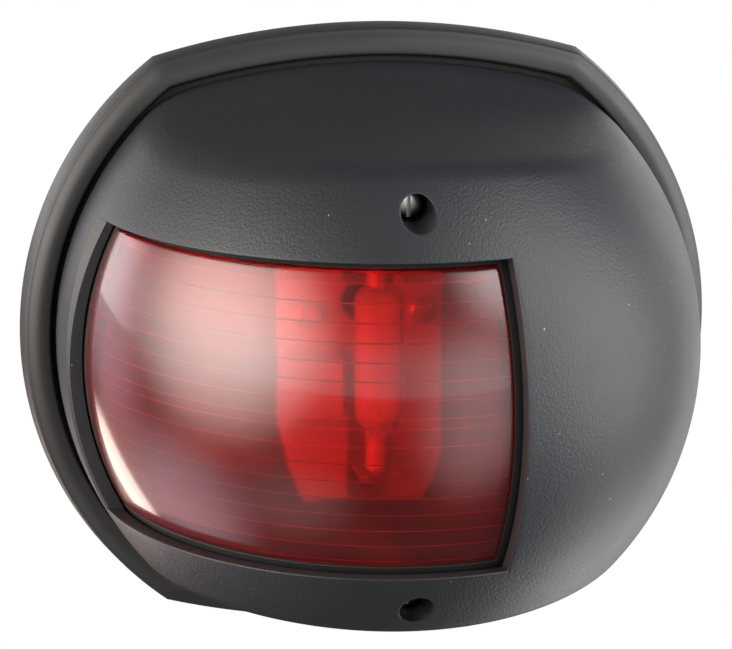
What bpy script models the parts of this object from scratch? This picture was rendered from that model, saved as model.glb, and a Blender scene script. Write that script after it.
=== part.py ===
"""Port side light for a boat, for screwing to an upright wall.

A domed cover with a red lens closes over a mounting base that carries the lamp
holder, a festoon lamp and a two-pole terminal block.

World frame: metres, +Z up, the flat back lies in the plane Y = 0 and the light
looks towards -Y. Its origin is the middle of the back face.

Most pieces are drawn in the base's own frame: x to the right, y up, and z out
from the wall. OUT_FROM_WALL turns that frame into the world's.
"""
import math

import bmesh
import bpy
from mathutils import Matrix, Vector

# ---------------------------------------------------------------- driving sizes
GAP = 0.0003                   # running gap between neighbouring pieces

SIDE_RADIUS = 0.070            # base outline: round sides about the centre
ARCH_RADIUS = 0.154            # base outline: shallow top and bottom arches
ARCH_APEX = 0.0616             # height of the arches above the centre
RIDGE_INSET = 0.0009           # draft of the outer wall up to its ridge
RIDGE_OUT = 0.0056
LIP_INSET = 0.0058             # inner lip of the crowned rim
LIP_OUT = 0.0070
RIM_CROWN = 0.0005
FLOOR = 0.0028                 # thickness of the base's floor
UPSTAND_INSET = (0.0114, 0.0132)
UPSTAND_OUT = 0.0080

DOME_RADIUS = 0.0633           # cover: spheroid, sideways and upwards
DOME_DEPTH = 0.0720            # and along its axis
DOME_CENTRE = 0.0113           # distance of its centre from the wall
COVER_WALL = 0.0028
COVER_BACK = 0.0049            # where the cover's back edge stands
ROOF_RADIUS = 0.147            # arched roof and underside of the cover
ROOF_HEIGHT = 0.0434           # their height at ROOF_STATION out from the wall
ROOF_STATION = 0.0630
ROOF_SLOPE = 0.187             # rise per unit of length towards the wall
FRONT_END = 0.0950             # a plane in front of everything

WINDOW_HALF_HEIGHT = 0.0286
WINDOW_LEFT_OUT = 0.0252       # the window's left edge is a plane parallel to the wall
WINDOW_RIGHT_ANGLE = math.radians(11.85)
LENS_RECESS = 0.0030           # lens face below the dome
LENS_INSET = 0.0016            # raised lens field inside the window's edge
LENS_FLANGE = 0.0024           # flange reaches this far behind the window's edge
LENS_FLANGE_RECESS = 0.0044
LENS_BACK_RECESS = 0.0060
LENS_SEAL_RECESS = (0.0032, 0.0040)

SCREW_X = -0.0029              # cover screws, one above and one below the window
SCREW_HEIGHT = 0.0364
WELL_RADIUS = 0.0031
PILLAR_RADIUS = 0.0047
PILLAR_END = 0.0336
WELL_SEAT = 0.0571
SCREW_HEAD_OUT = 0.0606

BULB_X = -0.0030
BULB_OUT = 0.0315
BULB_RADIUS = 0.0048
CAP_RADIUS = 0.0026
CAP_TIP = 0.0205

HOLDER_BACK = 0.0150
HOLDER_FRONT = 0.0180
HOLDER_SCREWS = ((-0.0150, 0.0040), (0.0080, 0.0040))
CONTACT_HEIGHT = 0.0190
CONTACT_THICK = 0.0006
RIVET_HEIGHT = 0.0240
CORE_HOLE = (-0.0042, 0.0063)   # round opening in the holder's plate behind the lamp
CORE_HOLE_RADIUS = 0.0042

TERMINAL_X = 0.0280
TERMINAL_POLES = (("upper", 0.0075), ("lower", -0.0035))
TERMINAL_MIDDLE = 0.0020
TERMINAL_AXIS_OUT = 0.0085
TERMINAL_TOP = 0.0130

GROMMET_PLACE = (0.0280, -0.0240)
WALL_HOLES = ((-0.040, -0.020), (-0.040, 0.020), (0.040, -0.020), (0.040, 0.020))

OUT_FROM_WALL = (math.pi / 2, 0.0, 0.0)

for old in list(bpy.data.objects):
    bpy.data.objects.remove(old, do_unlink=True)


# ---------------------------------------------------------------- materials
def make_material(name, colour, roughness, metallic=0.0, alpha=1.0):
    """A Principled material in the piece's own colour."""
    made = bpy.data.materials.new(name)
    made.use_nodes = True
    shader = made.node_tree.nodes["Principled BSDF"]
    shader.inputs["Base Color"].default_value = (*colour, 1.0)
    shader.inputs["Roughness"].default_value = roughness
    shader.inputs["Metallic"].default_value = metallic
    shader.inputs["Alpha"].default_value = alpha
    made.diffuse_color = (*colour, alpha)
    return made


BLACK_ABS = make_material("black_abs", (0.030, 0.031, 0.033), 0.48)
RED_LENS = make_material("red_lens", (0.55, 0.02, 0.03), 0.12, alpha=0.5)
SEAL_RUBBER = make_material("seal_rubber", (0.015, 0.015, 0.015), 0.75)
WHITE_NYLON = make_material("white_nylon", (0.80, 0.78, 0.74), 0.45)
GREY_NYLON = make_material("grey_nylon", (0.16, 0.16, 0.17), 0.5)
BRASS = make_material("brass", (0.72, 0.53, 0.24), 0.3, metallic=1.0)
STAINLESS = make_material("stainless", (0.62, 0.62, 0.60), 0.28, metallic=1.0)
BULB_GLASS = make_material("bulb_glass", (0.92, 0.95, 0.95), 0.05, alpha=0.3)
TUNGSTEN = make_material("tungsten", (0.25, 0.25, 0.26), 0.4, metallic=1.0)
RED_PVC = make_material("red_pvc", (0.45, 0.03, 0.03), 0.45)
BLACK_PVC = make_material("black_pvc", (0.02, 0.02, 0.02), 0.45)


# ---------------------------------------------------------------- object making
def finish_object(name, form, finish, place=(0.0, 0.0, 0.0), turn=OUT_FROM_WALL):
    """Make an object of a bmesh, with its origin at a place in the world."""
    bmesh.ops.recalc_face_normals(form, faces=form.faces)
    if form.calc_volume(signed=True) < 0:
        bmesh.ops.reverse_faces(form, faces=form.faces)
    mesh = bpy.data.meshes.new(name)
    form.to_mesh(mesh)
    form.free()
    mesh.shade_smooth()
    mesh.set_sharp_from_angle(angle=math.radians(35))
    made = bpy.data.objects.new(name, mesh)
    made.location = place
    made.rotation_euler = turn
    if finish:
        mesh.materials.append(finish)
    bpy.context.scene.collection.objects.link(made)
    return made


def cutter(name, form, place=(0.0, 0.0, 0.0), turn=OUT_FROM_WALL):
    """A guide that shapes other objects and isn't a piece itself."""
    made = finish_object(name, form, None, place, turn)
    made.hide_render = True
    made.display_type = 'WIRE'
    return made


def shape_with(target, operation, tool):
    """Add one exact Boolean step to an object."""
    step = target.modifiers.new(f"{operation.lower()}_{tool.name}", 'BOOLEAN')
    step.operation = operation
    step.solver = 'EXACT'
    step.object = tool


def wall_point(x, up, out):
    """The world place of a point given in the base's frame."""
    return (x, -out, up)


# ---------------------------------------------------------------- basic forms
def loft(rings):
    """A closed solid through rings of equal length, capped at both ends."""
    form = bmesh.new()
    loops = [[form.verts.new(point) for point in ring] for ring in rings]
    count = len(rings[0])
    for low, high in zip(loops, loops[1:]):
        for i in range(count):
            j = (i + 1) % count
            form.faces.new((low[i], low[j], high[j], high[i]))
    form.faces.new(loops[0])
    form.faces.new(loops[-1])
    return form


def prism(outline, low, high, axis="z"):
    """An outline extruded along z, or along y when the outline is drawn in x and z."""
    if axis == "z":
        return loft([[(x, y, level) for x, y in outline] for level in (low, high)])
    return loft([[(x, level, z) for x, z in outline] for level in (low, high)])


def box(x_range, y_range, z_range):
    """A rectangular block."""
    outline = [(x_range[0], y_range[0]), (x_range[1], y_range[0]),
               (x_range[1], y_range[1]), (x_range[0], y_range[1])]
    return prism(outline, *z_range)


def turned(profile, steps, closed=False):
    """Spin a profile of (radius, height) points about the local z axis."""
    form = bmesh.new()
    points = [form.verts.new((radius, 0.0, height)) for radius, height in profile]
    edges = [form.edges.new(pair) for pair in zip(points, points[1:])]
    if closed:
        edges.append(form.edges.new((points[-1], points[0])))
    bmesh.ops.spin(form, geom=points + edges, cent=(0, 0, 0), axis=(0, 0, 1),
                   angle=2 * math.pi, steps=steps, use_merge=True)
    bmesh.ops.remove_doubles(form, verts=form.verts, dist=1e-7)
    return form


def rod(radius, low, high, steps=20):
    """A plain round bar along the local z axis."""
    return turned([(0.0, high), (radius, high), (radius, low), (0.0, low)], steps)


def spheroid(recess, around=56, rings=36):
    """The dome's spheroid, made smaller by a recess, with its poles up and down."""
    form = bmesh.new()
    bmesh.ops.create_uvsphere(form, u_segments=around, v_segments=rings, radius=1.0)
    radius = DOME_RADIUS - recess
    depth = DOME_DEPTH - recess
    upright = Matrix.Rotation(-math.pi / 2, 4, 'X')
    stretch = Matrix.Diagonal((radius, radius, depth, 1.0))
    form.transform(Matrix.Translation((0, 0, DOME_CENTRE)) @ stretch @ upright)
    return form


def arc_points(centre_y, radius, start, end, count):
    """Points on an arc about (0, centre_y), from a start angle to an end angle."""
    angles = [start + (end - start) * i / count for i in range(count)]
    return [(radius * math.cos(a), centre_y + radius * math.sin(a)) for a in angles]


def base_outline(inset, side_count=18, arch_count=10):
    """The base's outline moved inwards: two round sides and two shallow arches."""
    side = SIDE_RADIUS - inset
    arch = ARCH_RADIUS - inset
    centre = ARCH_RADIUS - ARCH_APEX
    corner_y = (arch**2 - side**2 - centre**2) / (2 * centre)
    corner_x = math.sqrt(side**2 - corner_y**2)
    on_side = math.atan2(corner_y, corner_x)
    on_arch = math.atan2(corner_y + centre, corner_x)
    right = arc_points(0.0, side, -on_side, on_side, side_count)
    top = arc_points(-centre, arch, on_arch, math.pi - on_arch, arch_count)
    left = [(-x, -y) for x, y in right]
    bottom = [(-x, -y) for x, y in top]
    return right + top + left + bottom


def ring_at(inset, out):
    """The base's outline at an inset, lifted to a height above the wall."""
    return [(x, y, out) for x, y in base_outline(inset)]


# ---------------------------------------------------------------- mounting base
def crown_rings(steps=6):
    """The rounded moulding between the outer ridge and the inner lip."""
    rings = []
    for i in range(steps + 1):
        t = i / steps
        inset = RIDGE_INSET + 0.0004 + (LIP_INSET - 0.0004 - RIDGE_INSET - 0.0004) * t
        out = RIDGE_OUT + (LIP_OUT - RIDGE_OUT) * t + RIM_CROWN * math.sin(math.pi * t)
        rings.append(ring_at(inset, out))
    return rings


def make_base():
    """Tray with a crowned rim, a seal upstand, bosses, posts and holes."""
    inner, outer = UPSTAND_INSET[1], UPSTAND_INSET[0]
    rings = [ring_at(0.0, 0.0), ring_at(RIDGE_INSET, RIDGE_OUT - 0.0003)]
    rings += crown_rings()
    rings += [ring_at(LIP_INSET, LIP_OUT - 0.0003), ring_at(LIP_INSET, FLOOR),
              ring_at(outer, FLOOR), ring_at(outer, UPSTAND_OUT),
              ring_at(inner, UPSTAND_OUT), ring_at(inner, FLOOR)]
    base = finish_object("mounting_base", loft(rings), BLACK_ABS)

    root = 0.5 * FLOOR
    for side, up in (("upper", SCREW_HEIGHT), ("lower", -SCREW_HEIGHT)):
        place = wall_point(SCREW_X, up, 0.0)
        boss = rod(PILLAR_RADIUS, root, PILLAR_END - 2 * GAP, 28)
        shape_with(base, 'UNION', cutter(f"boss_{side}", boss, place))
        bore = rod(0.0029, 0.0210, PILLAR_END + 0.001, 24)
        shape_with(base, 'DIFFERENCE', cutter(f"boss_bore_{side}", bore, place))
    for i, (x, up) in enumerate(HOLDER_SCREWS):
        place = wall_point(x, up, 0.0)
        post = rod(0.0036, root, HOLDER_BACK - GAP)
        shape_with(base, 'UNION', cutter(f"post_{i}", post, place))
        pilot = rod(0.0015, 0.0050, HOLDER_BACK + 0.001, 16)
        shape_with(base, 'DIFFERENCE', cutter(f"post_pilot_{i}", pilot, place))

    for i, (x, up) in enumerate(WALL_HOLES):
        hole = turned([(0.0, 0.004), (0.0046, 0.004), (0.0046, 0.0022), (0.0023, 0.0004),
                       (0.0023, -0.001), (0.0, -0.001)], 20)
        shape_with(base, 'DIFFERENCE', cutter(f"wall_hole_{i}", hole, wall_point(x, up, 0.0)))
    inlet = turned([(0.0, 0.004), (0.0056, 0.004), (0.0056, 0.0010), (0.0074, 0.0010),
                    (0.0074, -0.001), (0.0, -0.001)], 28)
    shape_with(base, 'DIFFERENCE', cutter("inlet_hole", inlet, wall_point(*GROMMET_PLACE, 0.0)))
    block_pilot = rod(0.0013, 0.0008, 0.004, 16)
    place = wall_point(TERMINAL_X, TERMINAL_MIDDLE, 0.0)
    shape_with(base, 'DIFFERENCE', cutter("block_pilot", block_pilot, place))
    return base


def make_cover_seal():
    """Flat rubber ring in the groove between the rim's lip and the upstand."""
    outer, inner = LIP_INSET + 0.0004, UPSTAND_INSET[0] - 0.0004
    low, high = FLOOR + GAP, COVER_BACK - 0.0004
    seal = finish_object("cover_seal", loft([ring_at(outer, low), ring_at(outer, high)]),
                         SEAL_RUBBER)
    middle = loft([ring_at(inner, low - 0.001), ring_at(inner, high + 0.001)])
    shape_with(seal, 'DIFFERENCE', cutter("seal_middle", middle))
    return seal


def make_grommet():
    """Rubber grommet that the supply cable passes through."""
    profile = [(0.0036, 0.0046), (0.0064, 0.0046), (0.0070, 0.0040), (0.0070, 0.0031),
               (0.0052, 0.0031), (0.0052, 0.0007), (0.0070, 0.0007), (0.0070, 0.0001),
               (0.0036, 0.0001)]
    place = wall_point(*GROMMET_PLACE, 0.0)
    return finish_object("cable_grommet", turned(profile, 28, closed=True), SEAL_RUBBER, place)


# ---------------------------------------------------------------- cover
def roof_outline(out, inset):
    """Wide outline between the arched roof and the arched underside."""
    apex = ROOF_HEIGHT + (ROOF_STATION - out) * ROOF_SLOPE - inset
    half_width = DOME_RADIUS + 0.010
    radius = ROOF_RADIUS - inset
    spread = math.asin(half_width / radius)
    count = 22
    top = arc_points(apex - radius, radius, math.pi / 2 - spread, math.pi / 2 + spread, count)
    top.append((-half_width, apex - radius + radius * math.cos(spread)))
    return top + [(-x, -y) for x, y in top]


def roof_prism(inset, back):
    """Solid between roof and underside, from a back plane to the front."""
    rings = [[(x, y, out) for x, y in roof_outline(out, inset)] for out in (back, FRONT_END)]
    return loft(rings)


def window_prism(grow):
    """The window's shape, grown or shrunk, as a solid that runs up and down."""
    lean = math.tan(WINDOW_RIGHT_ANGLE)
    shift = grow / math.cos(WINDOW_RIGHT_ANGLE)
    left = WINDOW_LEFT_OUT - grow
    outline = [(-0.100, left), ((left - DOME_CENTRE) * lean + shift, left),
               ((FRONT_END - DOME_CENTRE) * lean + shift, FRONT_END), (-0.100, FRONT_END)]
    half = WINDOW_HALF_HEIGHT + grow
    return prism(outline, -half, half, axis="y")


def make_cover():
    """Domed shell with a window, two screw pillars and two screwdriver wells."""
    cover = finish_object("front_cover", spheroid(0.0), BLACK_ABS)
    shape_with(cover, 'INTERSECT', cutter("cover_limits", roof_prism(0.0, COVER_BACK)))
    hollow = cutter("cover_hollow", spheroid(COVER_WALL, 48, 30))
    shape_with(hollow, 'INTERSECT', cutter("hollow_limits", roof_prism(COVER_WALL, -0.010)))
    shape_with(cover, 'DIFFERENCE', hollow)
    shape_with(cover, 'DIFFERENCE', cutter("window", window_prism(0.0)))
    for side, up in (("upper", SCREW_HEIGHT), ("lower", -SCREW_HEIGHT)):
        place = wall_point(SCREW_X, up, 0.0)
        pillar = cutter(f"pillar_{side}", rod(PILLAR_RADIUS, PILLAR_END, FRONT_END, 28), place)
        shape_with(pillar, 'INTERSECT', cutter(f"pillar_limit_{side}", spheroid(0.0012, 48, 32)))
        shape_with(cover, 'UNION', pillar)
        well = turned([(0.0, FRONT_END), (WELL_RADIUS, FRONT_END), (WELL_RADIUS, WELL_SEAT),
                       (0.0019, WELL_SEAT), (0.0019, PILLAR_END - 0.001),
                       (0.0, PILLAR_END - 0.001)], 24)
        shape_with(cover, 'DIFFERENCE', cutter(f"well_{side}", well, place))
    return cover


def shell_between(name, outer_recess, inner_recess, around, rings):
    """A thin spheroidal shell between two recesses, as a guide."""
    shell = cutter(name, spheroid(outer_recess, around, rings))
    shape_with(shell, 'DIFFERENCE', cutter(f"{name}_inside", spheroid(inner_recess, around, rings)))
    return shell


def make_lens():
    """Red lens: a raised, domed field with a thinner flange round it."""
    lens = finish_object("lens", spheroid(LENS_RECESS, 52, 34), RED_LENS)
    shape_with(lens, 'INTERSECT', cutter("lens_field", window_prism(-LENS_INSET)))
    flange = cutter("lens_flange", spheroid(LENS_FLANGE_RECESS, 52, 34))
    shape_with(flange, 'INTERSECT', cutter("flange_field", window_prism(LENS_FLANGE)))
    shape_with(lens, 'UNION', flange)
    shape_with(lens, 'DIFFERENCE', cutter("lens_inside", spheroid(LENS_BACK_RECESS, 52, 34)))
    return lens


def make_lens_seal():
    """Bonded seal between the lens flange and the cover."""
    seal = finish_object("lens_seal", spheroid(LENS_SEAL_RECESS[0], 48, 30), SEAL_RUBBER)
    shape_with(seal, 'INTERSECT', cutter("lens_seal_field", window_prism(LENS_FLANGE)))
    shape_with(seal, 'DIFFERENCE', cutter("lens_seal_inside", spheroid(LENS_SEAL_RECESS[1], 48, 30)))
    shape_with(seal, 'DIFFERENCE', cutter("lens_seal_window", window_prism(-0.0006)))
    return seal


# ---------------------------------------------------------------- fasteners
def slotted_screw(name, place, head, shank, slot, finish=STAINLESS, steps=24):
    """Pan-head screw: head and shank are (radius, low, high); slot is (width, depth)."""
    radius, low, high = head
    crown = 0.25 * (high - low)
    profile = [(0.0, high), (0.6 * radius, high), (0.92 * radius, high - 0.4 * crown),
               (radius, high - crown), (radius, low), (shank[0], low),
               (shank[0], shank[1] + 0.5 * shank[0]), (0.5 * shank[0], shank[1]),
               (0.0, shank[1])]
    screw = finish_object(name, turned(profile, steps), finish, place)
    groove = box((-0.5 * slot[0], 0.5 * slot[0]), (-2 * radius, 2 * radius),
                 (high - slot[1], high + 0.002))
    shape_with(screw, 'DIFFERENCE', cutter(f"{name}_slot", groove, place))
    return screw


def make_cover_screws():
    """Two long slotted screws with O-rings, and the inserts that they enter."""
    for side, up in (("upper", SCREW_HEIGHT), ("lower", -SCREW_HEIGHT)):
        place = wall_point(SCREW_X, up, 0.0)
        head = (0.0026, SCREW_HEAD_OUT - 0.0020, SCREW_HEAD_OUT)
        slotted_screw(f"cover_screw_{side}", place, head, (0.0015, 0.0235), (0.0007, 0.0010))
        ring = [(0.0018, WELL_SEAT + GAP), (0.0026, WELL_SEAT + GAP),
                (0.0026, head[1] - GAP), (0.0018, head[1] - GAP)]
        finish_object(f"screw_seal_{side}", turned(ring, 24, closed=True), SEAL_RUBBER, place)
        sleeve = [(0.0018, 0.0220), (0.0026, 0.0220), (0.0026, PILLAR_END - 0.0010),
                  (0.0018, PILLAR_END - 0.0010)]
        finish_object(f"threaded_insert_{side}", turned(sleeve, 24, closed=True), BRASS, place)


# ---------------------------------------------------------------- lamp holder
def make_holder():
    """White holder: an upright plate with raised blocks round the lamp."""
    plate = [(-0.0210, -0.0145), (-0.0155, -0.0280), (0.0080, -0.0280), (0.0120, -0.0200),
             (0.0120, 0.0280), (-0.0210, 0.0280)]
    holder = finish_object("lamp_holder", prism(plate, HOLDER_BACK, HOLDER_FRONT), WHITE_NYLON)
    root = HOLDER_FRONT - 0.001
    blocks = (("upper_left", box((-0.0208, -0.0094), (0.0110, 0.0205), (root, 0.0270))),
              ("upper_right", box((0.0024, 0.0104), (0.0120, 0.0205), (root, 0.0270))),
              ("lower_left", box((-0.0204, -0.0094), (-0.0120, -0.0030), (root, 0.0270))),
              ("lower_wedge", prism([(-0.0198, -0.0125), (-0.0157, -0.0262),
                                     (-0.0076, -0.0262), (-0.0076, -0.0125)], root, 0.0225)))
    for side, form in blocks:
        shape_with(holder, 'UNION', cutter(f"block_{side}", form))
    for i, (x, up) in enumerate(HOLDER_SCREWS):
        hole = cutter(f"holder_hole_{i}", rod(0.0018, 0.010, 0.020, 16), wall_point(x, up, 0.0))
        shape_with(holder, 'DIFFERENCE', hole)
    for side, up in (("upper", RIVET_HEIGHT), ("lower", -RIVET_HEIGHT)):
        hole = cutter(f"rivet_hole_{side}", rod(0.0012, 0.010, 0.020, 16),
                      wall_point(BULB_X, up, 0.0))
        shape_with(holder, 'DIFFERENCE', hole)
    core = rod(CORE_HOLE_RADIUS, HOLDER_BACK - 0.001, HOLDER_FRONT + 0.001, 28)
    shape_with(holder, 'DIFFERENCE', cutter("core_hole", core, wall_point(*CORE_HOLE, 0.0)))
    for side, (x, up) in zip(("left", "right"), HOLDER_SCREWS):
        slotted_screw(f"holder_screw_{side}", wall_point(x, up, 0.0),
                      (0.0026, HOLDER_FRONT + GAP, HOLDER_FRONT + 0.0020),
                      (0.00115, 0.0075), (0.0006, 0.0008), steps=20)
    return holder


def fork_outline():
    """Spring blade seen from above: a tongue with an open slot for the lamp's tip."""
    back, front = HOLDER_FRONT + GAP, BULB_OUT + 0.0035
    half, slot = 0.0041, 0.0025
    points = [(-half, back), (half, back), (half, front), (slot, front)]
    for i in range(9):
        angle = math.pi * i / 8
        points.append((slot * math.cos(angle), BULB_OUT - slot * math.sin(angle)))
    points += [(-slot, front), (-half, front)]
    return points


def make_contacts():
    """Two brass spring contacts, each riveted to the holder."""
    for side, sign in (("upper", 1.0), ("lower", -1.0)):
        place = wall_point(BULB_X, 0.0, 0.0)
        low, high = CONTACT_HEIGHT, CONTACT_HEIGHT + CONTACT_THICK
        blade = prism(fork_outline(), sign * low, sign * high, axis="y")
        contact = finish_object(f"contact_{side}", blade, BRASS, place)
        heights = sorted((sign * (low + 0.0001), sign * 0.0275))
        face = HOLDER_FRONT + GAP
        tab = box((-0.0022, 0.0022), heights, (face, face + CONTACT_THICK))
        shape_with(contact, 'UNION', cutter(f"tab_{side}", tab, place))
        eye = wall_point(BULB_X, sign * RIVET_HEIGHT, 0.0)
        hole = cutter(f"tab_hole_{side}", rod(0.0012, 0.010, 0.022, 16), eye)
        shape_with(contact, 'DIFFERENCE', hole)
        top = face + CONTACT_THICK + GAP
        rivet = [(0.0, top + 0.0009), (0.0010, top + 0.0009), (0.0018, top + 0.0003),
                 (0.0018, top), (0.0009, top), (0.0009, HOLDER_BACK - GAP),
                 (0.0017, HOLDER_BACK - GAP), (0.0017, HOLDER_BACK - 0.0011),
                 (0.0, HOLDER_BACK - 0.0011)]
        finish_object(f"contact_rivet_{side}", turned(rivet, 16), BRASS, eye)


# ---------------------------------------------------------------- festoon lamp
def make_bulb():
    """Festoon lamp, upright: glass tube, two end caps and a coiled filament."""
    place = wall_point(BULB_X, 0.0, BULB_OUT)
    upright = (0.0, 0.0, 0.0)
    half_outside = [(BULB_RADIUS, 0.0095), (0.93 * BULB_RADIUS, 0.0112), (0.0034, 0.0124),
                    (0.00195, 0.0129), (0.00195, 0.0155)]
    half_inside = [(0.0013, 0.0155), (0.0013, 0.0134), (0.0030, 0.0119),
                   (0.78 * BULB_RADIUS, 0.0108), (BULB_RADIUS - 0.0007, 0.0093)]
    above = half_outside + half_inside
    below = [(radius, -height) for radius, height in reversed(above)]
    glass = turned(above + below, 20, closed=True)
    finish_object("bulb_glass", glass, BULB_GLASS, place, upright)
    for side, sign in (("upper", 1.0), ("lower", -1.0)):
        profile = [(0.00225, 0.0134), (CAP_RADIUS, 0.0134), (CAP_RADIUS, 0.0185),
                   (0.0010, CAP_TIP), (0.0, CAP_TIP), (0.0, 0.0160), (0.00225, 0.0160)]
        rim = [(0.00225, 0.0134), (0.00225, 0.0160)]
        points = [(radius, sign * height) for radius, height in profile[1:5]]
        points = [(rim[0][0], sign * rim[0][1])] + points
        inner = [(0.0, sign * 0.0160), (rim[1][0], sign * rim[1][1]), points[0]]
        form = turned([inner[0], inner[1]] + points, 24)
        finish_object(f"bulb_cap_{side}", form, STAINLESS, place, upright)

    turns, per_turn, coil = 6, 6, 0.0007
    count = turns * per_turn
    points = [(0.0, 0.0, -0.0150), (0.0, 0.0, -0.0085)]
    for i in range(count + 1):
        angle = 2 * math.pi * i / per_turn
        height = -0.0070 + 0.0140 * i / count
        points.append((coil * math.cos(angle), coil * math.sin(angle), height))
    points += [(0.0, 0.0, 0.0085), (0.0, 0.0, 0.0150)]
    cable_tube("bulb_filament", points, 0.00015, TUNGSTEN, 1, place)


def cable_tube(name, points, radius, finish, resolution=2, place=(0.0, 0.0, 0.0)):
    """A round lead along a list of world points, with closed ends."""
    data = bpy.data.curves.new(name, 'CURVE')
    data.dimensions = '3D'
    data.bevel_depth = radius
    data.bevel_resolution = resolution
    data.use_fill_caps = True
    spline = data.splines.new('POLY')
    spline.points.add(len(points) - 1)
    for knot, point in zip(spline.points, points):
        knot.co = (*point, 1.0)
    data.materials.append(finish)
    made = bpy.data.objects.new(name, data)
    made.location = place
    bpy.context.scene.collection.objects.link(made)
    return made


# ---------------------------------------------------------------- terminal block
def make_terminals():
    """Two-pole terminal block with brass sleeves and clamping screws."""
    half_width, half_height = 0.0070, 0.0100
    x_range = (TERMINAL_X - half_width, TERMINAL_X + half_width)
    y_range = (TERMINAL_MIDDLE - half_height, TERMINAL_MIDDLE + half_height)
    body = box(x_range, y_range, (FLOOR + GAP, TERMINAL_TOP))
    block = finish_object("terminal_block", body, GREY_NYLON)
    along_x = (0.0, math.pi / 2, 0.0)
    middle = wall_point(TERMINAL_X, TERMINAL_MIDDLE, 0.0)
    bore = cutter("block_screw_hole", rod(0.0014, 0.0, 0.020, 16), middle)
    shape_with(block, 'DIFFERENCE', bore)
    slotted_screw("terminal_block_screw", middle,
                  (0.0023, TERMINAL_TOP + GAP, TERMINAL_TOP + 0.0018),
                  (0.0010, 0.0012), (0.0006, 0.0007), steps=18)
    for side, up in TERMINAL_POLES:
        axis_place = wall_point(TERMINAL_X, up, TERMINAL_AXIS_OUT)
        channel = cutter(f"channel_{side}", rod(0.0026, -0.010, 0.010), axis_place, along_x)
        shape_with(block, 'DIFFERENCE', channel)
        screw_place = wall_point(TERMINAL_X, up, 0.0)
        access = cutter(f"access_{side}", rod(0.0019, TERMINAL_AXIS_OUT, 0.020, 16), screw_place)
        shape_with(block, 'DIFFERENCE', access)
        tube = [(0.00145, -0.0062), (0.0023, -0.0062), (0.0023, 0.0062), (0.00145, 0.0062)]
        sleeve = finish_object(f"terminal_sleeve_{side}", turned(tube, 20, closed=True),
                               BRASS, axis_place, along_x)
        thread = rod(0.00135, TERMINAL_AXIS_OUT, 0.020, 16)
        shape_with(sleeve, 'DIFFERENCE', cutter(f"sleeve_thread_{side}", thread, screw_place))
        slotted_screw(f"terminal_screw_{side}", screw_place,
                      (0.0015, 0.0112, 0.0125), (0.0010, 0.0080), (0.0005, 0.0006), steps=16)


# ---------------------------------------------------------------- inner leads
def smooth_route(knots, per_span=3):
    """Catmull-Rom curve through hand-picked points."""
    points = [Vector(knot) for knot in knots]
    points = [2 * points[0] - points[1]] + points + [2 * points[-1] - points[-2]]
    route = []
    for a, b, c, d in zip(points, points[1:], points[2:], points[3:]):
        for i in range(per_span):
            t = i / per_span
            route.append(0.5 * (2 * b + (c - a) * t + (2 * a - 5 * b + 4 * c - d) * t**2
                                + (3 * b - a - 3 * c + d) * t**3))
    route.append(points[-2])
    return route


def make_leads():
    """Leads from the terminal sleeves to the backs of the contact rivets."""
    for (side, up), sign, finish in zip(TERMINAL_POLES, (1.0, -1.0), (RED_PVC, BLACK_PVC)):
        eye = sign * RIVET_HEIGHT
        knots = [(0.0235, up, TERMINAL_AXIS_OUT), (0.0195, up, TERMINAL_AXIS_OUT),
                 (0.0150, up + sign * 0.0035, 0.0085), (0.0095, sign * 0.0185, 0.0080),
                 (0.0020, sign * 0.0235, 0.0075), (-0.0022, eye, 0.0090),
                 (BULB_X, eye, 0.0118), (BULB_X, eye, 0.0133)]
        route = smooth_route([wall_point(*knot) for knot in knots])
        cable_tube(f"lead_{side}", route, 0.0010, finish)


make_base()
make_cover_seal()
make_grommet()
make_cover()
make_lens()
make_lens_seal()
make_cover_screws()
make_holder()
make_contacts()
make_bulb()
make_terminals()
make_leads()
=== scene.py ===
import math

import bmesh
import bpy
from mathutils import Matrix, Vector


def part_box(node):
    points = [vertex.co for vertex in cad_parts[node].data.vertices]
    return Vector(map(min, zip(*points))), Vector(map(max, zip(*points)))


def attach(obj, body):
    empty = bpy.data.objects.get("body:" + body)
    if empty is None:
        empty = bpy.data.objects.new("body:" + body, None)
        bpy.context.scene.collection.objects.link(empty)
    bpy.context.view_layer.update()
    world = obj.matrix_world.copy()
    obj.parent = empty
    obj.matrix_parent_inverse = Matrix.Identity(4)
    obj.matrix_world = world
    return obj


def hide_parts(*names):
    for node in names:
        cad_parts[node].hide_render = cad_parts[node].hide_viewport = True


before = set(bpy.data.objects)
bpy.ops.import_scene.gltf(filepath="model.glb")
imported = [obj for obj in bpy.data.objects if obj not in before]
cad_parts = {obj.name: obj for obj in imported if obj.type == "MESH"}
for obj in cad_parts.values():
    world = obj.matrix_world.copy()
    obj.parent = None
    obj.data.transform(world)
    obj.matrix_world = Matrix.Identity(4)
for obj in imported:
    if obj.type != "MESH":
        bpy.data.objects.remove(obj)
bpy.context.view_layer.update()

# ---------------------------------------------------------------- studio
# The light hangs free over a wide pale floor. Soft boxes stand a metre from it all
# round: a large one at its left, a weaker one at its right, smaller ones elsewhere.
FLOOR_DROP = 1.3
FRONT_FILL = 0.8
REAR_GLOW = 1.7
PAPER = (1.0, 1.0, 1.0)
LIGHT_MIDDLE = Vector((0, -0.03, 0))


def plug(tree, node, inputs):
    """Link a node's sockets to others or set them to values."""
    for key, value in inputs.items():
        if isinstance(value, bpy.types.NodeSocket):
            tree.links.new(value, node.inputs[key])
        else:
            node.inputs[key].default_value = value


def add_node(tree, kind, inputs=None, **settings):
    """One new node with its settings and sockets."""
    made = tree.nodes.new(kind)
    for key, value in settings.items():
        setattr(made, key, value)
    plug(tree, made, inputs or {})
    return made


def mesh_from(name, form):
    """A mesh made from a form, which is then let go."""
    mesh = bpy.data.meshes.new(name)
    form.to_mesh(mesh)
    form.free()
    return mesh


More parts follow.
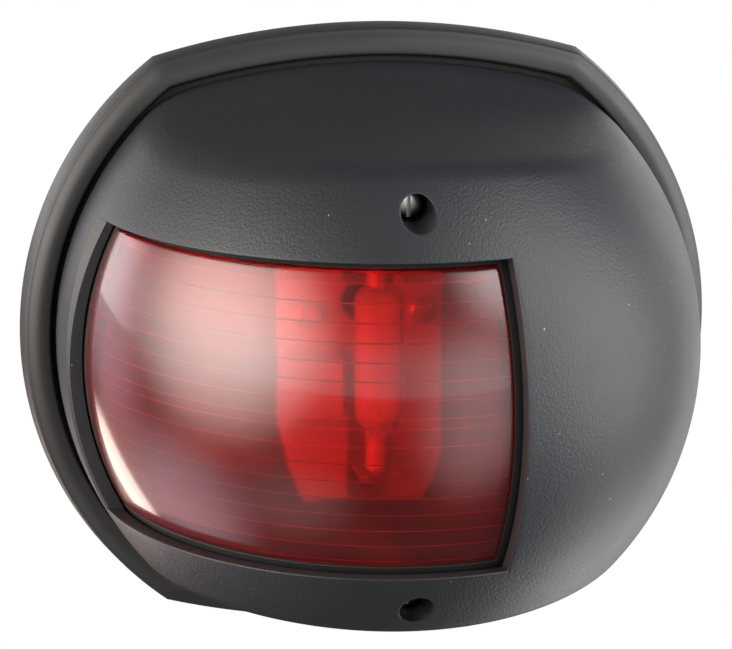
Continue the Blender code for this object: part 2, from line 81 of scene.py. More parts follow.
def put_in_scene(name, data):
    """A new object in the scene."""
    made = bpy.data.objects.new(name, data)
    bpy.context.scene.collection.objects.link(made)
    return made


def towards(azimuth, elevation):
    """A direction at an angle from the light's axis and above its middle."""
    turn, rise = math.radians(azimuth), math.radians(elevation)
    return Vector((math.cos(rise) * math.sin(turn), -math.cos(rise) * math.cos(turn),
                   math.sin(rise)))


def soft_box(name, azimuth, elevation, width, height, glow, core, colour=PAPER):
    """An area lamp facing the light, bright in its middle and fading to its edges."""
    data = bpy.data.lights.new(name, 'AREA')
    data.shape = 'RECTANGLE'
    data.size = width
    data.size_y = height
    data.energy = glow * math.pi * width * height
    data.color = colour
    data.use_nodes = True
    tree = data.node_tree
    place = add_node(tree, "ShaderNodeNewGeometry")
    centred = add_node(tree, "ShaderNodeMapping", {
        "Vector": place.outputs["Parametric"], "Location": (-1, -1, 0), "Scale": (2, 2, 0)})
    span = add_node(tree, "ShaderNodeVectorMath", {0: centred.outputs["Vector"]},
                    operation='LENGTH')
    fade = add_node(tree, "ShaderNodeMapRange", {
        "Value": span.outputs["Value"], "From Min": core, "From Max": 1.1,
        "To Min": 1.0, "To Max": 0.0}, interpolation_type='SMOOTHSTEP')
    plug(tree, tree.nodes["Emission"], {"Strength": fade.outputs["Result"]})
    lamp = put_in_scene(name, data)
    lamp.location = towards(azimuth, elevation) + LIGHT_MIDDLE
    lamp.rotation_euler = (-towards(azimuth, elevation)).to_track_quat('-Z', 'Y').to_euler()
    lamp.visible_camera = False


soft_box("left_box", -76, 14, 1.90, 1.60, 7.0, core=0.05, colour=(1.0, 0.93, 0.86))
soft_box("left_edge_box", -128, 0, 0.80, 1.00, 1.0, core=0.2, colour=(0.95, 0.88, 1.0))
soft_box("left_low_box", -55, -44, 0.90, 0.60, 0.5, core=0.2)
soft_box("left_low_rear_box", -108, -38, 1.10, 0.80, 1.3, core=0.2, colour=(1.0, 0.82, 0.92))
soft_box("left_rear_strip", -146, -29, 0.26, 0.44, 4.5, core=0.6, colour=(1.0, 0.80, 0.70))
soft_box("right_front_box", 54, 38, 1.10, 0.90, 5.0, core=0.2)
soft_box("front_box", 24, -8, 1.00, 1.60, 1.6, core=0.1)
soft_box("right_box", 76, 2, 1.15, 1.40, 4.4, core=0.4)
soft_box("right_rear_box", 134, -14, 0.60, 0.80, 1.6, core=0.3)
soft_box("right_low_rear_box", 118, -44, 1.10, 0.80, 2.5, core=0.3)

world = bpy.data.worlds.new("studio")
bpy.context.scene.world = world
world.use_nodes = True
sky = world.node_tree
heading = add_node(sky, "ShaderNodeSeparateXYZ", {
    "Vector": add_node(sky, "ShaderNodeTexCoord").outputs["Generated"]})
behind = add_node(sky, "ShaderNodeMapRange", {
    "Value": heading.outputs["Y"], "From Min": 0.35, "From Max": 0.75,
    "To Min": 0.0, "To Max": REAR_GLOW}, interpolation_type='SMOOTHSTEP')
before = add_node(sky, "ShaderNodeMapRange", {
    "Value": heading.outputs["Y"], "From Min": 0.10, "From Max": -0.60,
    "To Min": 0.0, "To Max": FRONT_FILL}, interpolation_type='SMOOTHSTEP')
sides = add_node(sky, "ShaderNodeMath", {
    0: before.outputs["Result"], 1: behind.outputs["Result"]}, operation='ADD')
tilt = add_node(sky, "ShaderNodeMath", {0: heading.outputs["Z"]}, operation='ABSOLUTE')
level_band = add_node(sky, "ShaderNodeMapRange", {
    "Value": tilt.outputs[0], "From Min": 0.15, "From Max": 0.42,
    "To Min": 1.0, "To Max": 0.0}, interpolation_type='SMOOTHSTEP')
filled = add_node(sky, "ShaderNodeMath", {
    0: sides.outputs[0], 1: level_band.outputs["Result"], 2: 0.04},
    operation='MULTIPLY_ADD')
seen_sky = add_node(sky, "ShaderNodeMix", {
    0: add_node(sky, "ShaderNodeLightPath").outputs["Is Camera Ray"],
    2: filled.outputs[0], 3: 1.0})
plug(sky, sky.nodes["Background"], {"Strength": seen_sky.outputs[0], "Color": (*PAPER, 1)})

paper = bpy.data.materials.new("floor_paper")
paper.use_nodes = True
sheet = paper.node_tree
matt = add_node(sheet, "ShaderNodeBsdfDiffuse", {"Color": (0.10, 0.10, 0.10, 1)})
bright = add_node(sheet, "ShaderNodeEmission", {"Color": (*PAPER, 1), "Strength": 1.0})
paper_mix = add_node(sheet, "ShaderNodeMixShader", {
    0: add_node(sheet, "ShaderNodeLightPath").outputs["Is Camera Ray"],
    1: matt.outputs[0], 2: bright.outputs[0]})
plug(sheet, sheet.nodes["Material Output"], {"Surface": paper_mix.outputs[0]})
floor_form = bmesh.new()
bmesh.ops.create_grid(floor_form, x_segments=2, y_segments=2, size=30.0)
bmesh.ops.translate(floor_form, verts=floor_form.verts, vec=(0, 0, -FLOOR_DROP))
floor = put_in_scene("floor", mesh_from("floor", floor_form))
floor.data.materials.append(paper)

camera_data = bpy.data.cameras.new("camera")
camera_data.lens = 126.0
camera_data.clip_start = 0.02
camera = put_in_scene("camera", camera_data)
camera.location = (-0.0862, -0.4990, 0.1230)
aim = Vector((-0.0053, -0.0300, 0.0072))
camera.rotation_euler = (aim - camera.location).to_track_quat('-Z', 'Y').to_euler()
bpy.context.scene.camera = camera
bpy.context.scene.view_settings.view_transform = 'Standard'

# ---------------------------------------------------------------- mounting base
# A shallow tray moulded in charcoal ABS, screwed to an upright wall. Its rim has a
# crowned moulding and a rounded lip, and a rib inside it carries the seal's groove.
# Everything is drawn as it lies on a bench, back down, and then turned to the wall.
STAND_UP = Matrix.Rotation(math.pi / 2, 4, 'X')
base_low, base_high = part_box("mounting_base")
SIDE_RADIUS = base_high.x
ARCH_APEX = base_high.z
ARCH_RADIUS = 0.154
RIDGE_INSET, RIDGE_OUT = 0.0009, 0.0056
LIP_INSET, LIP_OUT = 0.0058, 0.0070
RIM_CROWN = 0.0005
FLOOR = 0.0028
UPSTAND_INSETS = (0.0114, 0.0132)
UPSTAND_OUT = 0.0080
PILLAR_RADIUS = 0.0047
BOSS_END = -base_low.y
WALL_HOLES = [(x, up) for x in (-0.040, 0.040) for up in (-0.020, 0.020)]


def middle_of(node):
    """Where a node's axis stands on the wall: across and up."""
    low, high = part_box(node)
    return (low.x + high.x) / 2, (low.z + high.z) / 2


SCREW_PLACES = [middle_of(f"cover_screw_{side}") for side in ("upper", "lower")]
HOLDER_SCREWS = [middle_of(f"holder_screw_{side}") for side in ("left", "right")]


def start_finish(name):
    """A new finish: its material, node tree, shader and place on the piece."""
    made = bpy.data.materials.new(name)
    made.use_nodes = True
    tree = made.node_tree
    place = add_node(tree, "ShaderNodeTexCoord").outputs["Object"]
    return made, tree, tree.nodes["Principled BSDF"], place


def moulded(name, colour, rough, drift, grain=0.00045, depth=0.00002, patch=0.02,
            metallic=0.0, glint_specks=0.0):
    """A finish with fine grain, slow changes of colour and gloss, and any painted glints."""
    made, tree, shader, place = start_finish(name)
    cloud = add_node(tree, "ShaderNodeTexNoise", {
        "Vector": place, "Scale": 1 / patch, "Detail": 4.0, "Roughness": 0.6})
    skin = add_node(tree, "ShaderNodeTexNoise", {
        "Vector": place, "Scale": 1 / grain, "Detail": 2.0, "Roughness": 0.55})
    dark = [c * (1 - drift) for c in colour]
    light = [min(1.0, c * (1 + drift)) for c in colour]
    tone = add_node(tree, "ShaderNodeMix", {
        0: cloud.outputs["Fac"], 6: (*dark, 1), 7: (*light, 1)}, data_type='RGBA')
    gloss = add_node(tree, "ShaderNodeMapRange", {
        "Value": cloud.outputs["Fac"], "From Min": 0.3, "From Max": 0.7,
        "To Min": rough * 0.88, "To Max": min(1.0, rough * 1.12)})
    colour_out = tone.outputs[2]
    # Painted glints: a few pale specks mixed into the base colour stand for the grain's sparkle in
    # the highlights.
    if glint_specks:
        glint_cells = add_node(tree, "ShaderNodeTexVoronoi", {"Vector": place, "Scale": 330.0})
        near = add_node(tree, "ShaderNodeMapRange", {
            "Value": glint_cells.outputs["Distance"], "From Min": 0.03, "From Max": 0.06,
            "To Min": glint_specks, "To Max": 0.0})
        few = add_node(tree, "ShaderNodeSeparateColor", {"Color": glint_cells.outputs["Color"]})
        chosen = add_node(tree, "ShaderNodeMath", {0: few.outputs[0], 1: 0.72},
                          operation='GREATER_THAN')
        glint_mask = add_node(tree, "ShaderNodeMath", {
            0: near.outputs["Result"], 1: chosen.outputs[0]}, operation='MULTIPLY')
        glinted = add_node(tree, "ShaderNodeMix", {
            0: glint_mask.outputs[0], 6: colour_out, 7: (0.75, 0.74, 0.70, 1)}, data_type='RGBA')
        colour_out = glinted.outputs[2]
    bump = add_node(tree, "ShaderNodeBump", {
        "Height": skin.outputs["Fac"], "Strength": 1.0, "Distance": depth})
    plug(tree, shader, {"Base Color": colour_out, "Roughness": gloss.outputs["Result"],
                        "Normal": bump.outputs["Normal"], "Metallic": metallic})
    return made


def pull_rings(rings, shut=False):
    """Draw the first ring as a circle and pull its edge through the others."""
    form = bmesh.new()
    order = form.verts.layers.int.new("order")
    first = bmesh.ops.create_circle(form, segments=len(rings[0]), radius=1.0)["verts"]
    for i, vert in enumerate(first):
        vert[order] = i
        vert.co = rings[0][i]
    edges = form.edges[:]
    first_edges = edges
    if not shut:
        bmesh.ops.contextual_create(form, geom=edges)
    for ring in rings[1:]:
        pulled = bmesh.ops.extrude_edge_only(form, edges=edges)["geom"]
        verts = {part for part in pulled if isinstance(part, bmesh.types.BMVert)}
        for vert in verts:
            vert.co = ring[vert[order]]
        edges = [part for part in pulled if isinstance(part, bmesh.types.BMEdge)
                 and part.verts[0] in verts and part.verts[1] in verts]
    if shut:
        bmesh.ops.bridge_loops(form, edges=first_edges + edges)
    else:
        bmesh.ops.contextual_create(form, geom=edges)
    return form


def turned(profile, steps=64, centre=(0.0, 0.0), shut=False):
    """Spin a profile of (radius, height) points about an axis out from the wall."""
    form = bmesh.new()
    points = [form.verts.new((radius, 0.0, height)) for radius, height in profile]
    edges = [form.edges.new(pair) for pair in zip(points, points[1:])]
    if shut:
        edges.append(form.edges.new((points[-1], points[0])))
    bmesh.ops.spin(form, geom=points + edges, cent=(0, 0, 0), axis=(0, 0, 1),
                   angle=2 * math.pi, steps=steps, use_merge=True)
    bmesh.ops.remove_doubles(form, verts=form.verts, dist=1e-7)
    bmesh.ops.translate(form, verts=form.verts, vec=(*centre, 0.0))
    return form


def face_out(form):
    """Turn a closed form's faces outwards."""
    bmesh.ops.recalc_face_normals(form, faces=form.faces)
    if form.calc_volume(signed=True) < 0:
        bmesh.ops.reverse_faces(form, faces=form.faces)
    return form


def together(forms):
    """Several separate forms in one."""
    whole = bmesh.new()
    for form in forms:
        face_out(form)
        scrap = mesh_from("scrap", form)
        whole.from_mesh(scrap)
        bpy.data.meshes.remove(scrap)
    return whole


def carve(form, steps):
    """Add or cut away other forms, one (operation, form) after another."""
    parts = []
    for shape in [form] + [tool for _, tool in steps]:
        face_out(shape)
        parts.append(put_in_scene("blank", mesh_from("blank", shape)))
    for (operation, _), tool in zip(steps, parts[1:]):
        step = parts[0].modifiers.new(operation, 'BOOLEAN')
        step.operation = operation
        step.object = tool
    ready = parts[0].evaluated_get(bpy.context.evaluated_depsgraph_get())
    carved = bmesh.new()
    carved.from_mesh(ready.to_mesh())
    for blank in parts:
        bpy.data.objects.remove(blank, do_unlink=True)
    return carved


def add_piece(name, form, finish, body, stands_for, turn=STAND_UP, sharp=40.0):
    """Stand a finished form up against the wall and fix it to the part that carries it."""
    form.transform(turn)
    face_out(form)
    mesh = mesh_from(name, form)
    mesh.materials.append(finish)
    mesh.shade_smooth()
    mesh.set_sharp_from_angle(angle=math.radians(sharp))
    made = put_in_scene(name, mesh)
    even = made.modifiers.new("even_shading", 'WEIGHTED_NORMAL')
    even.keep_sharp = True
    even.weight = 80
    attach(made, body)
    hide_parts(*stands_for)
    return made


def arc(centre_y, radius, start, end, count):
    """Points on an arc about (0, centre_y), without its last point."""
    angles = [start + (end - start) * i / count for i in range(count)]
    return [(radius * math.cos(a), centre_y + radius * math.sin(a)) for a in angles]


def base_ring(inset, out):
    """The base's outline moved inwards: two round sides and two shallow arches."""
    side, arch = SIDE_RADIUS - inset, ARCH_RADIUS - inset
    drop = ARCH_RADIUS - ARCH_APEX
    corner_y = (arch**2 - side**2 - drop**2) / (2 * drop)
    corner_x = math.sqrt(side**2 - corner_y**2)
    on_side, on_arch = math.atan2(corner_y, corner_x), math.atan2(corner_y + drop, corner_x)
    half = arc(0.0, side, -on_side, on_side, 80)
    half += arc(-drop, arch, on_arch, math.pi - on_arch, 56)
    return [(x, y, out) for x, y in half + [(-x, -y) for x, y in half]]


def rim_rings():
    """Outer wall, ridge, crowned moulding and rounded lip of the rim."""
    rings = [base_ring(0.0003, 0.0), base_ring(0.0, 0.0004)]
    rings += [base_ring(RIDGE_INSET * t, RIDGE_OUT * t) for t in (0.5, 0.9)]
    rings += [base_ring(RIDGE_INSET + 0.0001, RIDGE_OUT - 0.0001),
              base_ring(RIDGE_INSET + 0.0004, RIDGE_OUT)]
    start, end = RIDGE_INSET + 0.0005, LIP_INSET - 0.0005
    for i in range(1, 15):
        t = i / 15
        out = RIDGE_OUT + (LIP_OUT - RIDGE_OUT) * t + RIM_CROWN * math.sin(math.pi * t)
        rings.append(base_ring(start + (end - start) * t, out))
    for i in range(5):
        a = math.pi / 2 * i / 4
        rings.append(base_ring(LIP_INSET - 0.0005 + 0.0005 * math.sin(a),
                               LIP_OUT - 0.0005 + 0.0005 * math.cos(a)))
    return rings


def drill(radius, bottom, top, steps, place):
    """A round cutter with a flat end."""
    return turned([(0, top), (radius, top), (radius, bottom), (0, bottom)], steps, place)


def tray():
    """The whole base, with bosses, posts, countersunk holes and the cable's hole."""
    outer, inner = UPSTAND_INSETS
    rings = rim_rings()
    rings += [base_ring(LIP_INSET, FLOOR), base_ring(outer, FLOOR),
              base_ring(outer, UPSTAND_OUT - 0.0002), base_ring(outer + 0.0002, UPSTAND_OUT),
              base_ring(inner - 0.0002, UPSTAND_OUT), base_ring(inner, UPSTAND_OUT - 0.0002),
              base_ring(inner, FLOOR)]
    root = FLOOR / 2
    bosses = [turned([(0, BOSS_END), (PILLAR_RADIUS - 0.0003, BOSS_END),
                      (PILLAR_RADIUS, BOSS_END - 0.0003), (PILLAR_RADIUS + 0.0002, FLOOR + 0.0008),
                      (PILLAR_RADIUS + 0.0010, FLOOR), (PILLAR_RADIUS + 0.0010, root), (0, root)],
                     centre=place) for place in SCREW_PLACES]
    posts = [turned([(0, 0.0147), (0.0034, 0.0147), (0.0036, 0.0145), (0.0037, FLOOR + 0.0006),
                     (0.0043, FLOOR), (0.0043, root), (0, root)], centre=place)
             for place in HOLDER_SCREWS]
    bores = [drill(0.0029, 0.0210, 0.05, 40, place) for place in SCREW_PLACES]
    pilots = [drill(0.0015, 0.0050, 0.03, 28, place) for place in HOLDER_SCREWS]
    wall_holes = [turned([(0, 0.004), (0.0046, 0.004), (0.0046, 0.0022), (0.0023, 0.0004),
                          (0.0023, -0.001), (0, -0.001)], 40, place) for place in WALL_HOLES]
    inlet = turned([(0, 0.004), (0.0056, 0.004), (0.0056, 0.0010), (0.0074, 0.0010),
                    (0.0074, -0.001), (0, -0.001)], 56, middle_of("cable_grommet"))
    pilot = drill(0.0013, 0.0008, 0.004, 28, middle_of("terminal_block_screw"))
    return carve(pull_rings(rings), [
        ('UNION', together(bosses + posts)),
        ('DIFFERENCE', together(bores + pilots + wall_holes + [inlet, pilot]))])


BASE_ABS = moulded("base_abs", (0.030, 0.030, 0.031), 0.44, depth=0.000012, drift=0.12)
add_piece("base_moulding", tray(), BASE_ABS, "base", ["mounting_base"], sharp=50)

# ---------------------------------------------------------------- base seals
# A flat rubber ring lies in the groove round the base and seals against the cover's
# back edge. A grommet of the same rubber lines the hole for the supply cable.
RUBBER = moulded("seal_rubber", (0.014, 0.014, 0.014), 0.72, grain=0.0006, drift=0.2)
seal_low, seal_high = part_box("cover_seal")


def flat_ring():
    """The seal's section, cut off at its four corners, pulled round the base."""
    low, high = -seal_high.y, -seal_low.y
    outer, inner, nose = LIP_INSET + 0.0004, UPSTAND_INSETS[0] - 0.0004, 0.0003
    section = [(outer + nose, low), (outer, low + nose), (outer, high - nose),
               (outer + nose, high), (inner - nose, high), (inner, high - nose),
               (inner, low + nose), (inner - nose, low)]
    return pull_rings([base_ring(inset, out) for inset, out in section], shut=True)


def grommet():
    """Two flanges with a waist that grips the edge of the hole."""
    bore, waist, flange = 0.0036, 0.0052, 0.0070
    section = [(bore + 0.0003, 0.0046), (0.0064, 0.0046), (0.0068, 0.0043), (flange, 0.0039),
               (flange, 0.0031), (waist, 0.0031), (waist, 0.0007), (flange, 0.0007),
               (flange, 0.0001), (bore, 0.0001), (bore, 0.0043)]
    return turned(section, 72, middle_of("cable_grommet"), shut=True)


add_piece("groove_seal", flat_ring(), RUBBER, "base", ["cover_seal"])
add_piece("inlet_grommet", grommet(), RUBBER, "base", ["cable_grommet"])

# ---------------------------------------------------------------- cover
# A domed shell moulded in grained charcoal ABS, with a shallow arched roof and
# underside. Its window runs from a flat rail at the left to a sill right of the middle.
# A screwdriver well above it and one below lead to pillars for the long screws.
DOME_RADIUS, DOME_DEPTH, DOME_CENTRE = 0.0633, 0.0720, 0.0113
COVER_WALL, COVER_BACK = 0.0028, 0.0049
ROOF_RADIUS, ROOF_HEIGHT, ROOF_STATION, ROOF_SLOPE = 0.147, 0.0434, 0.0630, 0.187
CREASE, EDGE_ROUNDING = 0.035, 0.00045
WINDOW_HALF_HEIGHT, WINDOW_LEFT_OUT = 0.0286, 0.0252
WINDOW_RIGHT_ANGLE = math.radians(11.85)
PILLAR_END = 0.0336
WELL_RADIUS, WELL_BORE, WELL_SEAT = 0.0031, 0.0019, 0.0571
DOME_COLUMNS, DOME_ROWS = 240, 144
WINDOW_ROWS = 20
LEFT_COLUMN, RIGHT_COLUMN = -52, 9


def circle_ring(radius, out, steps, centre=(0.0, 0.0)):
    """A round ring of points at a height above the wall."""
    turns = [2 * math.pi * i / steps for i in range(steps)]
    return [(centre[0] + radius * math.cos(a), centre[1] + radius * math.sin(a), out)
            for a in turns]


def round_off(form, edges, width, segments):
    """Round some edges of a form."""
    bmesh.ops.bevel(form, geom=edges, offset=width, offset_type='OFFSET', segments=segments,
                    profile=0.5, affect='EDGES', clamp_overlap=True, material=-1)


def corners(form, least):
    """The edges where two faces meet at more than an angle."""
    return [edge for edge in form.edges if len(edge.link_faces) == 2
            and edge.calc_face_angle(0.0) > math.radians(least)]


def window_edges(level, grow, recess):
    """Turns of the window's left and right edges about the dome at a height."""
    radius, depth = DOME_RADIUS - recess, DOME_DEPTH - recess
    waist = math.sqrt(1 - (level / radius)**2)
    left = -math.acos((WINDOW_LEFT_OUT - grow - DOME_CENTRE) / (depth * waist))
    across = radius * waist
    along = depth * waist * math.tan(WINDOW_RIGHT_ANGLE)
    shift = grow / math.cos(WINDOW_RIGHT_ANGLE)
    right = math.atan2(along, across) + math.asin(shift / math.hypot(across, along))
    return left, right


def dome_point(turn, level, recess):
    """A point of the dome's spheroid, made smaller by a recess."""
    radius, depth = DOME_RADIUS - recess, DOME_DEPTH - recess
    waist = math.sqrt(max(0.0, 1 - (level / radius)**2))
    return Vector((radius * waist * math.sin(turn), level,
                   DOME_CENTRE + depth * waist * math.cos(turn)))


def roof_height(x, out, recess):
    """Height of the arched roof over a place."""
    radius = ROOF_RADIUS - recess
    sag = radius - math.sqrt(max(0.0, radius**2 - x**2))
    return ROOF_HEIGHT - recess + (ROOF_STATION - out) * ROOF_SLOPE - sag


def shell_point(turn, level, recess):
    """The dome's point, pulled in along its ray to where the roof is, with a soft crease."""
    centre = Vector((0, 0, DOME_CENTRE))
    ray = dome_point(turn, level, recess) - centre
    share = 1.0
    start = roof_height(0, DOME_CENTRE, recess)
    for _ in range(8):
        at = centre + share * ray
        room = roof_height(at.x, at.z, recess) - abs(at.y)
        share = min(1.5, share * start / max(start - room, 1e-4))
    near = max(CREASE - abs(share - 1.0), 0.0) / CREASE
    share = min(share, 1.0) - near * near * CREASE / 4
    return centre + share * ray


def spread(value, marks):
    """Piecewise even spacing: marks are (value, result) pairs in rising order."""
    for (low, first), (high, last) in zip(marks, marks[1:]):
        if value <= high:
            return first + (last - first) * (value - low) / (high - low)
    return marks[-1][1]


def skin_place(column, row, recess):
    """Where a crossing of the cover's grid lies, with lines along the window's edges."""
    radius = DOME_RADIUS - recess
    if abs(row) == DOME_ROWS // 2:
        return shell_point(0.0, math.copysign(radius, row), recess)
    rise = math.asin(WINDOW_HALF_HEIGHT / radius)
    rows = [(0, 0.0), (WINDOW_ROWS, rise), (WINDOW_ROWS + 7, math.radians(37)),
            (62, math.radians(60)), (DOME_ROWS / 2, math.pi / 2)]
    level = math.copysign(radius * math.sin(spread(abs(row), rows)), row)
    bound = max(-WINDOW_HALF_HEIGHT, min(WINDOW_HALF_HEIGHT, level))
    left, right = window_edges(bound, 0.0, recess)
    half = DOME_COLUMNS / 2
    turn = spread(column, [(-half, -math.pi), (LEFT_COLUMN, left), (RIGHT_COLUMN, right),
                           (half, math.pi)])
    return shell_point(turn, level, recess)


def dome_skin(recess):
    """One skin of the cover, open at the window."""
    form = bmesh.new()
    bmesh.ops.create_uvsphere(form, u_segments=DOME_COLUMNS, v_segments=DOME_ROWS, radius=1.0)
    columns, rows = (form.verts.layers.int.new(name) for name in ("column", "row"))
    within = form.verts.layers.int.new("within")
    for vert in form.verts:
        vert[rows] = round(math.asin(max(-1.0, min(1.0, vert.co.z))) / math.pi * DOME_ROWS)
        vert[columns] = round(math.atan2(vert.co.x, vert.co.y) / (2 * math.pi) * DOME_COLUMNS)
        vert[within] = int(recess > 0)
    inside = []
    for face in form.faces:
        column = sum(vert[columns] for vert in face.verts) / len(face.verts)
        row = sum(vert[rows] for vert in face.verts) / len(face.verts)
        if LEFT_COLUMN < column < RIGHT_COLUMN and abs(row) < WINDOW_ROWS:
            inside.append(face)
    bmesh.ops.delete(form, geom=inside, context='FACES')
    for vert in form.verts:
        vert.co = skin_place(vert[columns], vert[rows], recess)
    return form


def well_cut(place):
    """A screwdriver well whose mouth is rounded along the dome's slope."""
    rings = [circle_ring(WELL_BORE, PILLAR_END - 0.001, 64, place),
             circle_ring(WELL_BORE, WELL_SEAT, 64, place),
             circle_ring(WELL_RADIUS, WELL_SEAT, 64, place)]
    for radius, depth in ((WELL_RADIUS, 0.00030), (WELL_RADIUS + 0.00004, 0.00014),
                          (WELL_RADIUS + 0.00016, 0.00004), (WELL_RADIUS + 0.00034, -0.00002)):
        ring = []
        for x, y, _ in circle_ring(radius, 0.0, 64, place):
            out = DOME_CENTRE + DOME_DEPTH * math.sqrt(1 - (x * x + y * y) / DOME_RADIUS**2)
            ring.append((x, y, out - depth))
        rings.append(ring)
    rings.append(circle_ring(WELL_RADIUS + 0.00034, 0.090, 64, place))
    return pull_rings(rings)


def pillar(place):
    """The post behind a well, run up into the shell's wall."""
    rings = [circle_ring(PILLAR_RADIUS - 0.0003, PILLAR_END, 48, place),
             circle_ring(PILLAR_RADIUS, PILLAR_END + 0.0003, 48, place)]
    top = []
    for x, y, _ in circle_ring(PILLAR_RADIUS, 0.0, 48, place):
        depth, radius = DOME_DEPTH - 0.0015, DOME_RADIUS - 0.0015
        top.append((x, y, DOME_CENTRE + depth * math.sqrt(1 - (x * x + y * y) / radius**2)))
    return pull_rings(rings + [top])


def rail_chamfer():
    """Shaves the rail's outer edge, widest at its top end."""
    rings = []
    reach = WINDOW_HALF_HEIGHT - 0.00006
    count, narrow_end, past, clear = 40, -0.004, 0.0004, 0.004
    for i in range(count + 1):
        level = -reach + 2 * reach * i / count
        t = max(0.0, (level - narrow_end) / (reach - narrow_end))
        width = 0.0005 + 0.0011 * t**1.6
        waist = math.sqrt(1 - (level / DOME_RADIUS)**2)
        turn = math.acos((WINDOW_LEFT_OUT - DOME_CENTRE) / (DOME_DEPTH * waist))
        x = -DOME_RADIUS * waist * math.sin(turn)
        out = WINDOW_LEFT_OUT
        rings.append([(x + width + past, level, out + past),
                      (x + width + past, level, out + clear), (x - clear, level, out + clear),
                      (x - clear, level, out - width - clear)])
    return pull_rings(rings)


def cover_shell():
    """Outer and inner skins joined by walls round the window and across the back."""
    form = together([dome_skin(0.0), dome_skin(COVER_WALL)])
    columns, rows, within = (form.verts.layers.int[name] for name in ("column", "row", "within"))
    edges = [edge for edge in form.edges if edge.is_boundary and not edge.verts[0][within]]
    pulled = bmesh.ops.extrude_edge_only(form, edges=edges)["geom"]
    for vert in [part for part in pulled if isinstance(part, bmesh.types.BMVert)]:
        vert.co = skin_place(vert[columns], vert[rows], COVER_WALL)
    bmesh.ops.remove_doubles(form, verts=form.verts, dist=1e-6)
    bmesh.ops.bisect_plane(form, geom=form.verts[:] + form.edges[:] + form.faces[:],
                           dist=1e-7, plane_co=(0, 0, COVER_BACK), plane_no=(0, 0, -1),
                           clear_outer=True)
    bmesh.ops.triangle_fill(form, edges=[edge for edge in form.edges if edge.is_boundary],
                            use_beauty=True, normal=(0, 0, -1))
    face_out(form)
    sharp = []
    for edge in corners(form, 45):
        middle = (edge.verts[0].co + edge.verts[1].co) / 2
        on_rail = abs(middle.z - WINDOW_LEFT_OUT) < 0.0002 and middle.x < 0
        at_back = middle.z < COVER_BACK + 0.001
        if not (on_rail or at_back):
            sharp.append(edge)
    round_off(form, sharp, EDGE_ROUNDING, 3)
    wells = together([well_cut(place) for place in SCREW_PLACES])
    pillars = together([pillar(place) for place in SCREW_PLACES])
    return carve(form, [('UNION', pillars), ('DIFFERENCE', wells),
                        ('DIFFERENCE', rail_chamfer())])


# The cover's pale specks are painted glints, not dust.
COVER_ABS = moulded("cover_abs", (0.025, 0.027, 0.032), 0.42, grain=0.00050, depth=0.00010,
                    patch=0.03, drift=0.10, glint_specks=0.5)
add_piece("cover_moulding", cover_shell(), COVER_ABS, "cover", ["front_cover"],
          sharp=28)

# ---------------------------------------------------------------- lens
# Red acrylic moulded in one piece: a domed field that fills the window, a thinner
# flange round it behind the window's edge, and level prisms inside that gather the
# lamp's beam. A black rubber frame bonds the flange to the cover.
LENS_RECESS, FLANGE_RECESS, LENS_BACK = 0.0030, 0.0044, 0.0060
FIELD_INSET, FLANGE_REACH = 0.0016, 0.0024
BEAM_LEVEL, BEAM_HALF, PRISM_PITCH = 0.0007, 0.0073, 0.0032
PRISM_DEPTH, STEP_NUDGE = 0.0003, 0.0001
LENS_COLUMNS, EDGE_STEPS = 96, 3


def pass_light(tree, shader, tint):
    """Let light through to what lies behind, tinted, instead of casting a shadow."""
    open_way = add_node(tree, "ShaderNodeBsdfTransparent", {"Color": tint})
    mix = add_node(tree, "ShaderNodeMixShader", {
        0: add_node(tree, "ShaderNodeLightPath").outputs["Is Shadow Ray"],
        1: shader.outputs[0], 2: open_way.outputs[0]})
    plug(tree, tree.nodes["Material Output"], {"Surface": mix.outputs[0]})


def clear_red(name, frosted=False, shade_factor=1.0):
    """Tinted acrylic that lamps shine through; the prisms' crests are faintly frosted. A shade
    factor below one darkens the red as painted shade.
    """
    made, tree, shader, place = start_finish(name)
    cloud = add_node(tree, "ShaderNodeTexNoise", {
        "Vector": place, "Scale": 60.0, "Detail": 3.0})
    # The shade factor scales the red down: painted shade, not a deeper tint of the acrylic.
    tone = add_node(tree, "ShaderNodeMix", {
        0: cloud.outputs["Fac"], 6: (0.90 * shade_factor, 0.060 * shade_factor, 0.055 * shade_factor, 1),
        7: (0.97 * shade_factor, 0.090 * shade_factor, 0.080 * shade_factor, 1)}, data_type='RGBA')
    gloss = add_node(tree, "ShaderNodeMapRange", {
        "Value": cloud.outputs["Fac"], "To Min": 0.05, "To Max": 0.11})
    wave = add_node(tree, "ShaderNodeBump", {
        "Height": cloud.outputs["Fac"], "Strength": 0.4, "Distance": 0.00004})
    plug(tree, shader, {
        "Base Color": tone.outputs[2], "Roughness": gloss.outputs["Result"],
        "Normal": wave.outputs["Normal"], "Transmission Weight": 0.945, "IOR": 1.54,
        "Coat Weight": 0.0 if frosted else 0.8, "Coat Roughness": 0.32})
    if frosted:
        height = add_node(tree, "ShaderNodeSeparateXYZ", {"Vector": place}).outputs["Z"]
        off = add_node(tree, "ShaderNodeMath", {0: height, 1: BEAM_LEVEL}, operation='SUBTRACT')
        away = add_node(tree, "ShaderNodeMath", {0: off.outputs[0]}, operation='ABSOLUTE')
        past = add_node(tree, "ShaderNodeMath", {0: away.outputs[0], 1: BEAM_HALF},
                        operation='SUBTRACT')
        crest = add_node(tree, "ShaderNodeMath", {0: past.outputs[0], 1: PRISM_PITCH / 2},
                         operation='PINGPONG')
        clear = add_node(tree, "ShaderNodeMapRange", {
            "Value": crest.outputs[0], "From Min": 0.00004, "From Max": 0.00014,
            "To Min": 0.80, "To Max": 0.985})
        plug(tree, shader, {"Transmission Weight": clear.outputs["Result"]})
    pass_light(tree, shader, (0.98, 0.40, 0.36, 1))
    return made


